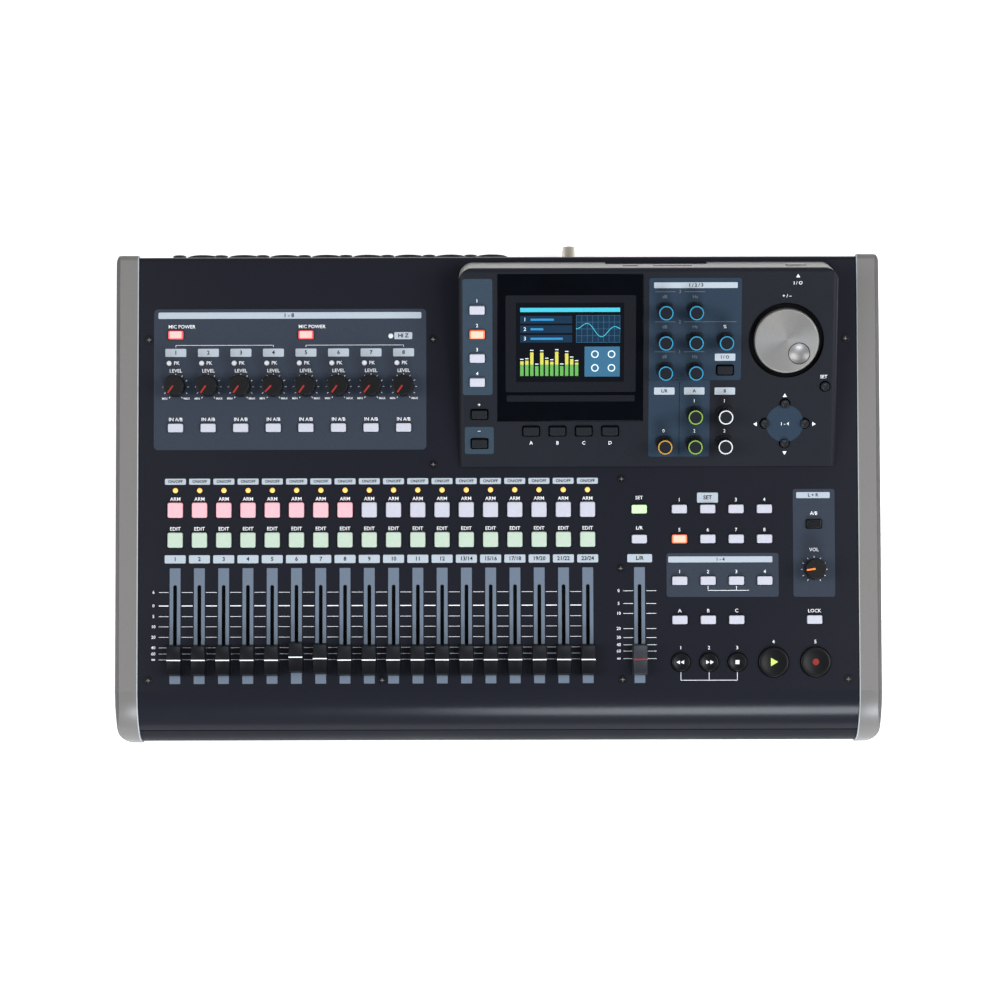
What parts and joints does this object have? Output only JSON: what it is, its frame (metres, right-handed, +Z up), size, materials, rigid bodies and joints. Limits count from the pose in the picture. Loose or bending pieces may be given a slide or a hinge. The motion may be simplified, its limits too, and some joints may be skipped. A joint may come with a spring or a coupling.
{
  "type": "digital multitrack recorder",
  "caption": "Desktop digital multitrack recorder: sloped panel with track faders, keys and trim knobs, a raised tilted display with encoders and a jog wheel, and rear audio sockets.",
  "frame": {"origin": "middle of the footprint at table level", "axes": "+X to the right along the width, +Y to the rear sockets, +Z up"},
  "size_m": [0.512, 0.336, 0.1043],
  "materials": {
    "panel": "satin paint, fine grain",
    "tray": "satin paint",
    "cheek": "warm grey moulding",
    "housing": "fine grain moulding",
    "silver": "silver grey paint",
    "window": "clear gloss over black",
    "screen": "lit screen",
    "board": "solder mask",
    "pot": "stamped steel",
    "socket": "black moulding",
    "screw": "black oxide",
    "foot": "moulded rubber",
    "key_light": "frosted translucent",
    "key_dark": "moulded black",
    "cap": "moulded black",
    "stereo_cap": "moulded grey",
    "knob": "soft black"
  },
  "bodies": {
    "chassis": {"base_tray": "tray", "top_panel": "panel", "left_cheek": "cheek", "right_cheek": "cheek", "display_housing": "housing", "display_rear_cover": "silver", "display_window": "window", "lcd_module": "screen", "circuit_boards": "board", "fader_tracks": "pot", "rotary_bodies": "pot", "rear_sockets": "socket", "screws": "screw", "feet": "foot"},
    "fader_1": {"fader_1": "cap"},
    "fader_2": {"fader_2": "cap"},
    "fader_3": {"fader_3": "cap"},
    "fader_4": {"fader_4": "cap"},
    "fader_5": {"fader_5": "cap"},
    "fader_6": {"fader_6": "cap"},
    "fader_7": {"fader_7": "cap"},
    "fader_8": {"fader_8": "cap"},
    "fader_9": {"fader_9": "cap"},
    "fader_10": {"fader_10": "cap"},
    "fader_11": {"fader_11": "cap"},
    "fader_12": {"fader_12": "cap"},
    "fader_13": {"fader_13": "cap"},
    "fader_14": {"fader_14": "cap"},
    "fader_15": {"fader_15": "cap"},
    "fader_16": {"fader_16": "cap"},
    "fader_17": {"fader_17": "cap"},
    "fader_18": {"fader_18": "cap"},
    "stereo_fader": {"stereo_fader": "stereo_cap"},
    "trim_knob_a": {"trim_knob_a": "knob"},
    "trim_knob_b": {"trim_knob_b": "knob"},
    "trim_knob_c": {"trim_knob_c": "knob"},
    "trim_knob_d": {"trim_knob_d": "knob"},
    "trim_knob_e": {"trim_knob_e": "knob"},
    "trim_knob_f": {"trim_knob_f": "knob"},
    "trim_knob_g": {"trim_knob_g": "knob"},
    "trim_knob_h": {"trim_knob_h": "knob"},
    "monitor_knob": {"monitor_knob": "knob"},
    "high_gain_knob": {"high_gain_knob": "knob"},
    "high_freq_knob": {"high_freq_knob": "knob"},
    "mid_gain_knob": {"mid_gain_knob": "knob"},
    "mid_freq_knob": {"mid_freq_knob": "knob"},
    "mid_width_knob": {"mid_width_knob": "knob"},
    "low_gain_knob": {"low_gain_knob": "knob"},
    "low_freq_knob": {"low_freq_knob": "knob"},
    "pan_knob": {"pan_knob": "knob"},
    "send_1_knob": {"send_1_knob": "knob"},
    "send_2_knob": {"send_2_knob": "knob"},
    "return_1_knob": {"return_1_knob": "knob"},
    "return_2_knob": {"return_2_knob": "knob"},
    "jog_wheel": {"jog_wheel": "silver"},
    "track_keys": {"track_keys": "key_light"},
    "panel_keys": {"panel_keys": "key_light"},
    "transport_keys": {"transport_keys": "key_dark"},
    "display_keys": {"display_keys": "key_dark"},
    "standby_key": {"standby_key": "silver"}
  },
  "joints": [
    {"name": "fader_1_slide", "type": "slide", "parent": "chassis", "child": "fader_1", "axis": [0, 0.9986, 0.0523], "range_m": [0, 0.045]},
    {"name": "fader_2_slide", "type": "slide", "parent": "chassis", "child": "fader_2", "axis": [0, 0.9986, 0.0523], "range_m": [0, 0.045]},
    {"name": "fader_3_slide", "type": "slide", "parent": "chassis", "child": "fader_3", "axis": [0, 0.9986, 0.0523], "range_m": [0, 0.045]},
    {"name": "fader_4_slide", "type": "slide", "parent": "chassis", "child": "fader_4", "axis": [0, 0.9986, 0.0523], "range_m": [0, 0.045]},
    {"name": "fader_5_slide", "type": "slide", "parent": "chassis", "child": "fader_5", "axis": [0, 0.9986, 0.0523], "range_m": [0, 0.045]},
    {"name": "fader_6_slide", "type": "slide", "parent": "chassis", "child": "fader_6", "axis": [0, 0.9986, 0.0523], "range_m": [-0.002, 0.043]},
    {"name": "fader_7_slide", "type": "slide", "parent": "chassis", "child": "fader_7", "axis": [0, 0.9986, 0.0523], "range_m": [-0.001, 0.044]},
    {"name": "fader_8_slide", "type": "slide", "parent": "chassis", "child": "fader_8", "axis": [0, 0.9986, 0.0523], "range_m": [0, 0.045]},
    {"name": "fader_9_slide", "type": "slide", "parent": "chassis", "child": "fader_9", "axis": [0, 0.9986, 0.0523], "range_m": [0, 0.045]},
    {"name": "fader_10_slide", "type": "slide", "parent": "chassis", "child": "fader_10", "axis": [0, 0.9986, 0.0523], "range_m": [0, 0.045]},
    {"name": "fader_11_slide", "type": "slide", "parent": "chassis", "child": "fader_11", "axis": [0, 0.9986, 0.0523], "range_m": [0, 0.045]},
    {"name": "fader_12_slide", "type": "slide", "parent": "chassis", "child": "fader_12", "axis": [0, 0.9986, 0.0523], "range_m": [0, 0.045]},
    {"name": "fader_13_slide", "type": "slide", "parent": "chassis", "child": "fader_13", "axis": [0, 0.9986, 0.0523], "range_m": [0, 0.045]},
    {"name": "fader_14_slide", "type": "slide", "parent": "chassis", "child": "fader_14", "axis": [0, 0.9986, 0.0523], "range_m": [0, 0.045]},
    {"name": "fader_15_slide", "type": "slide", "parent": "chassis", "child": "fader_15", "axis": [0, 0.9986, 0.0523], "range_m": [0, 0.045]},
    {"name": "fader_16_slide", "type": "slide", "parent": "chassis", "child": "fader_16", "axis": [0, 0.9986, 0.0523], "range_m": [0, 0.045]},
    {"name": "fader_17_slide", "type": "slide", "parent": "chassis", "child": "fader_17", "axis": [0, 0.9986, 0.0523], "range_m": [0, 0.045]},
    {"name": "fader_18_slide", "type": "slide", "parent": "chassis", "child": "fader_18", "axis": [0, 0.9986, 0.0523], "range_m": [0, 0.045]},
    {"name": "stereo_fader_slide", "type": "slide", "parent": "chassis", "child": "stereo_fader", "axis": [0, 0.9986, 0.0523], "range_m": [0, 0.045]},
    {"name": "trim_a_turn", "type": "hinge", "parent": "chassis", "child": "trim_knob_a", "pos_m": [-0.21565, 0.0682, 0.05757], "axis": [0, -0.0523, 0.9986], "range_deg": [-290, 0]},
    {"name": "trim_b_turn", "type": "hinge", "parent": "chassis", "child": "trim_knob_b", "pos_m": [-0.19385, 0.0682, 0.05757], "axis": [0, -0.0523, 0.9986], "range_deg": [-290, 0]},
    {"name": "trim_c_turn", "type": "hinge", "parent": "chassis", "child": "trim_knob_c", "pos_m": [-0.17205, 0.0682, 0.05757], "axis": [0, -0.0523, 0.9986], "range_deg": [-290, 0]},
    {"name": "trim_d_turn", "type": "hinge", "parent": "chassis", "child": "trim_knob_d", "pos_m": [-0.15025, 0.0682, 0.05757], "axis": [0, -0.0523, 0.9986], "range_deg": [-282, 8]},
    {"name": "trim_e_turn", "type": "hinge", "parent": "chassis", "child": "trim_knob_e", "pos_m": [-0.12845, 0.0682, 0.05757], "axis": [0, -0.0523, 0.9986], "range_deg": [-290, 0]},
    {"name": "trim_f_turn", "type": "hinge", "parent": "chassis", "child": "trim_knob_f", "pos_m": [-0.10665, 0.0682, 0.05757], "axis": [0, -0.0523, 0.9986], "range_deg": [-290, 0]},
    {"name": "trim_g_turn", "type": "hinge", "parent": "chassis", "child": "trim_knob_g", "pos_m": [-0.08485, 0.0682, 0.05757], "axis": [0, -0.0523, 0.9986], "range_deg": [-287, 3]},
    {"name": "trim_h_turn", "type": "hinge", "parent": "chassis", "child": "trim_knob_h", "pos_m": [-0.06305, 0.0682, 0.05757], "axis": [0, -0.0523, 0.9986], "range_deg": [-290, 0]},
    {"name": "monitor_turn", "type": "hinge", "parent": "chassis", "child": "monitor_knob", "pos_m": [0.21085, -0.05483, 0.05113], "axis": [0, -0.0523, 0.9986], "range_deg": [-243, 47]},
    {"name": "high_gain_turn", "type": "hinge", "parent": "chassis", "child": "high_gain_knob", "pos_m": [0.11075, 0.11413, 0.0884], "axis": [0, -0.2924, 0.9563], "continuous": true},
    {"name": "high_freq_turn", "type": "hinge", "parent": "chassis", "child": "high_freq_knob", "pos_m": [0.13075, 0.11413, 0.0884], "axis": [0, -0.2924, 0.9563], "continuous": true},
    {"name": "mid_gain_turn", "type": "hinge", "parent": "chassis", "child": "mid_gain_knob", "pos_m": [0.11075, 0.09501, 0.08255], "axis": [0, -0.2924, 0.9563], "continuous": true},
    {"name": "mid_freq_turn", "type": "hinge", "parent": "chassis", "child": "mid_freq_knob", "pos_m": [0.13075, 0.09501, 0.08255], "axis": [0, -0.2924, 0.9563], "continuous": true},
    {"name": "mid_width_turn", "type": "hinge", "parent": "chassis", "child": "mid_width_knob", "pos_m": [0.15075, 0.09501, 0.08255], "axis": [0, -0.2924, 0.9563], "continuous": true},
    {"name": "low_gain_turn", "type": "hinge", "parent": "chassis", "child": "low_gain_knob", "pos_m": [0.11075, 0.07588, 0.0767], "axis": [0, -0.2924, 0.9563], "continuous": true},
    {"name": "low_freq_turn", "type": "hinge", "parent": "chassis", "child": "low_freq_knob", "pos_m": [0.13075, 0.07588, 0.0767], "axis": [0, -0.2924, 0.9563], "continuous": true},
    {"name": "pan_turn", "type": "hinge", "parent": "chassis", "child": "pan_knob", "pos_m": [0.11075, 0.02864, 0.06226], "axis": [0, -0.2924, 0.9563], "continuous": true},
    {"name": "send_1_turn", "type": "hinge", "parent": "chassis", "child": "send_1_knob", "pos_m": [0.13075, 0.04777, 0.06811], "axis": [0, -0.2924, 0.9563], "continuous": true},
    {"name": "send_2_turn", "type": "hinge", "parent": "chassis", "child": "send_2_knob", "pos_m": [0.13075, 0.02864, 0.06226], "axis": [0, -0.2924, 0.9563], "continuous": true},
    {"name": "return_1_turn", "type": "hinge", "parent": "chassis", "child": "return_1_knob", "pos_m": [0.15075, 0.04777, 0.06811], "axis": [0, -0.2924, 0.9563], "continuous": true},
    {"name": "return_2_turn", "type": "hinge", "parent": "chassis", "child": "return_2_knob", "pos_m": [0.15075, 0.02864, 0.06226], "axis": [0, -0.2924, 0.9563], "continuous": true},
    {"name": "jog_turn", "type": "hinge", "parent": "chassis", "child": "jog_wheel", "pos_m": [0.19115, 0.09482, 0.08249], "axis": [0, -0.2924, 0.9563], "continuous": true},
    {"name": "track_keys_press", "type": "slide", "parent": "chassis", "child": "track_keys", "axis": [0, 0.0523, -0.9986], "range_m": [0, 0.001], "stiffness_N_per_m": 1500, "springref_m": -0.001},
    {"name": "panel_keys_press", "type": "slide", "parent": "chassis", "child": "panel_keys", "axis": [0, 0.0523, -0.9986], "range_m": [0, 0.001], "stiffness_N_per_m": 1500, "springref_m": -0.001},
    {"name": "transport_keys_press", "type": "slide", "parent": "chassis", "child": "transport_keys", "axis": [0, 0.0523, -0.9986], "range_m": [0, 0.001], "stiffness_N_per_m": 1500, "springref_m": -0.001},
    {"name": "display_keys_press", "type": "slide", "parent": "chassis", "child": "display_keys", "axis": [0, 0.2924, -0.9563], "range_m": [0, 0.001], "stiffness_N_per_m": 1500, "springref_m": -0.001},
    {"name": "standby_press", "type": "slide", "parent": "chassis", "child": "standby_key", "axis": [0, -0.9563, -0.2924], "range_m": [0, 0.001], "stiffness_N_per_m": 1500, "springref_m": -0.001}
  ]
}
